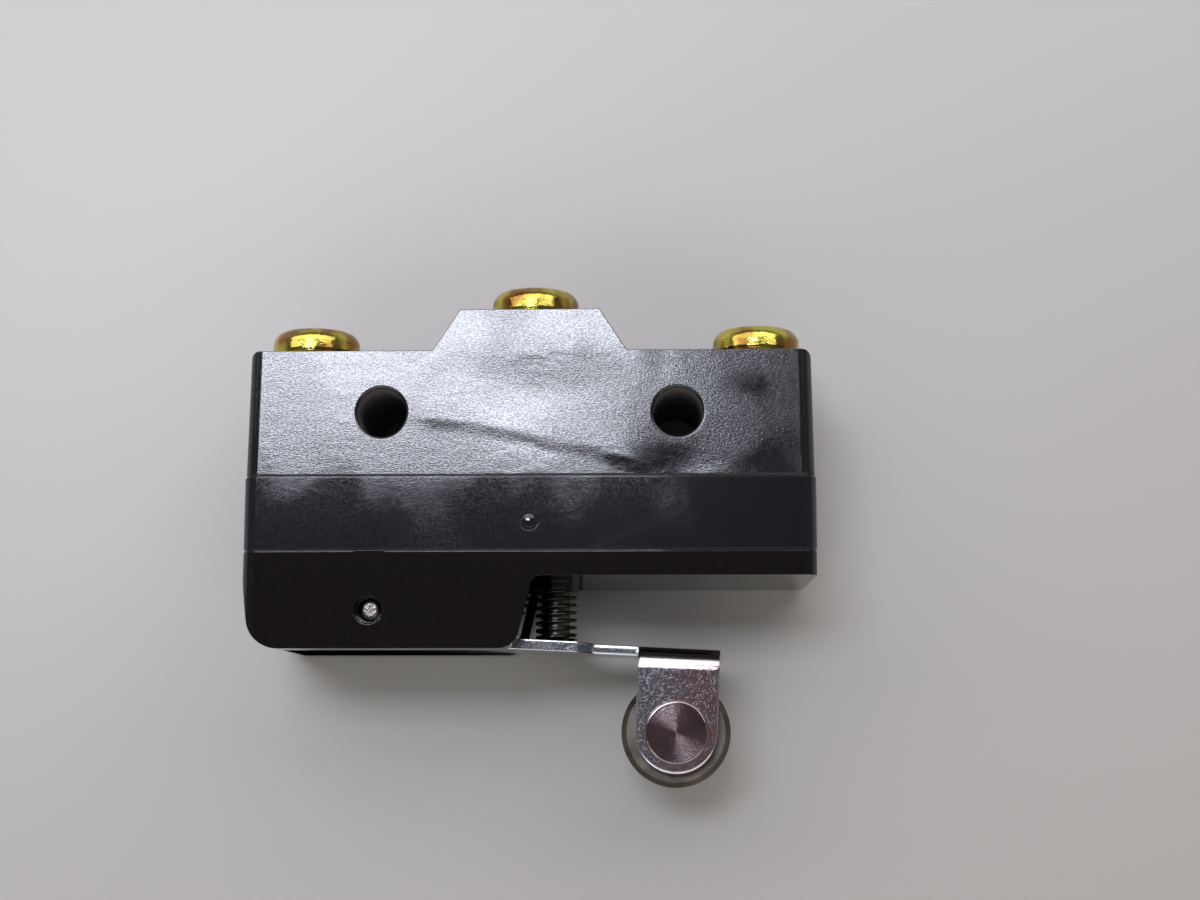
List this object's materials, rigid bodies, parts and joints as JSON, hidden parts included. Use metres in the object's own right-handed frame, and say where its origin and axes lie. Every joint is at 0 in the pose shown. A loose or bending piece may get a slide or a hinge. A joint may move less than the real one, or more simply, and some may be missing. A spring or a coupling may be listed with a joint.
{
  "type": "lever micro switch",
  "caption": "Large snap-action switch with screw terminals in a black moulded housing, a hinged roller lever, a coil return spring and a forked contact blade.",
  "frame": {"origin": "midway between the two mounting holes, on the back face of the housing", "axes": "+X along the housing, towards the end above the roller; +Y from the lever to the screw terminals; +Z through the thickness, along the mounting holes, towards the front face"},
  "size_m": [0.049, 0.0442, 0.0174],
  "materials": {
    "phenolic": "black moulded phenolic, semi-gloss with a fine pebbled skin",
    "plate_brass": "stamped brass",
    "screw_gold": "yellow passivated plating, bright",
    "blade_copper": "rolled copper alloy spring strip",
    "contact_silver": "silver contact metal",
    "plunger_steel": "turned stainless steel",
    "spring_wire": "drawn spring wire",
    "lever_nickel": "bright nickel-plated sheet steel",
    "pin_steel": "ground steel pin",
    "roller_steel": "matt sintered steel",
    "rivet_steel": "turned steel, bright rim"
  },
  "bodies": {
    "housing": {"terminal_base": "phenolic", "contact_case": "phenolic", "lever_cover": "phenolic", "common_terminal": "plate_brass", "open_terminal": "plate_brass", "closed_terminal": "plate_brass", "common_screw": "screw_gold", "open_screw": "screw_gold", "closed_screw": "screw_gold", "common_washer": "screw_gold", "open_washer": "screw_gold", "closed_washer": "screw_gold", "blade_anchor": "plate_brass", "snap_blade": "blade_copper", "anchor_rivet": "plate_brass", "open_contact": "contact_silver", "closed_contact": "contact_silver", "return_spring": "spring_wire", "pivot_pin": "pin_steel"},
    "lever": {"lever": "lever_nickel", "roller_rivet": "rivet_steel"},
    "roller": {"roller": "roller_steel"},
    "plunger": {"plunger": "plunger_steel"},
    "moving_contact": {"moving_contact": "contact_silver"}
  },
  "joints": [
    {"name": "lever_hinge", "type": "hinge", "parent": "housing", "child": "lever", "pos_m": [-0.0136, -0.01685, 0.00873], "axis": [0, 0, 1], "range_deg": [0, 9.2], "stiffness_Nm_per_rad": 0.05, "springref_deg": -20.05, "deforming": ["return_spring"]},
    {"name": "plunger_travel", "type": "slide", "parent": "housing", "child": "plunger", "axis": [0, 1, 0], "range_m": [0, 0.0026], "deforming": ["snap_blade"]},
    {"name": "contact_travel", "type": "slide", "parent": "housing", "child": "moving_contact", "axis": [0, 1, 0], "range_m": [0, 0.0008]},
    {"name": "roller_spin", "type": "hinge", "parent": "lever", "child": "roller", "pos_m": [0.01248, -0.02714, 0.00873], "axis": [0, 0, 1], "continuous": true}
  ],
  "couplings": [
    {"joint": "plunger_travel", "follows": "lever_hinge", "m_per_rad": 0.01554},
    {"joint": "contact_travel", "follows": "lever_hinge", "m_per_rad": 0.00498}
  ]
}
